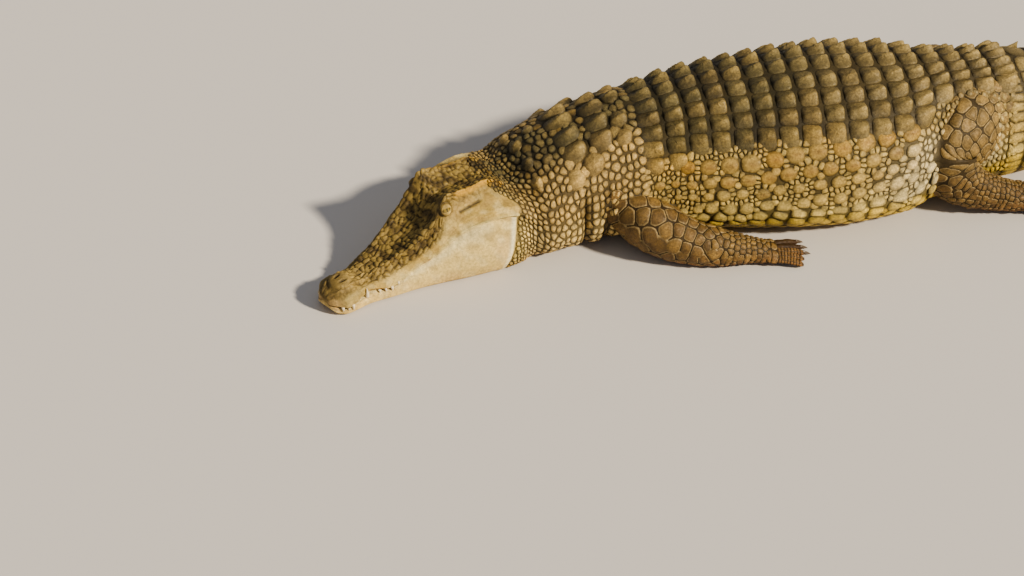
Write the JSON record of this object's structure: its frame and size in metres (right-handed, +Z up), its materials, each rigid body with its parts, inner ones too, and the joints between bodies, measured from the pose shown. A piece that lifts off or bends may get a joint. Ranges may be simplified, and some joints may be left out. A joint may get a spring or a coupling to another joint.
{
  "type": "nile crocodile",
  "caption": "Life-size still crocodile resting on its belly, head turned towards its left, forelegs swept back along the flanks, tail curving behind.",
  "frame": {"origin": "on the floor under the middle of the belly, at the mount belly_rest", "axes": "+Z up from the floor; the tail points towards +X, the head towards -X and the animal's left side faces -Y"},
  "size_m": [3.4439, 0.6921, 0.3748],
  "materials": {
    "head_skin": "smooth pale skin on the cheeks, rough and darker on top",
    "body_hide": "dry matt scaled hide, olive tan above and cream below",
    "leg_hide": "dusty brown scaled hide",
    "eye": "wet gloss",
    "tooth": "worn ivory",
    "claw": "dark horn"
  },
  "bodies": {
    "root": {"skull": "head_skin", "lower_jaw": "head_skin", "eye_left": "eye", "eye_right": "eye", "ear_flap_left": "head_skin", "ear_flap_right": "head_skin", "neck": "body_hide", "trunk": "body_hide", "tail_base": "body_hide", "tail_middle": "body_hide", "tail_tip": "body_hide", "upper_arm_left": "leg_hide", "forearm_left": "leg_hide", "hand_left": "leg_hide", "upper_arm_right": "leg_hide", "forearm_right": "leg_hide", "hand_right": "leg_hide", "thigh_left": "leg_hide", "shank_left": "leg_hide", "foot_left": "leg_hide", "thigh_right": "leg_hide", "shank_right": "leg_hide", "foot_right": "leg_hide"}
  },
  "joints": []
}
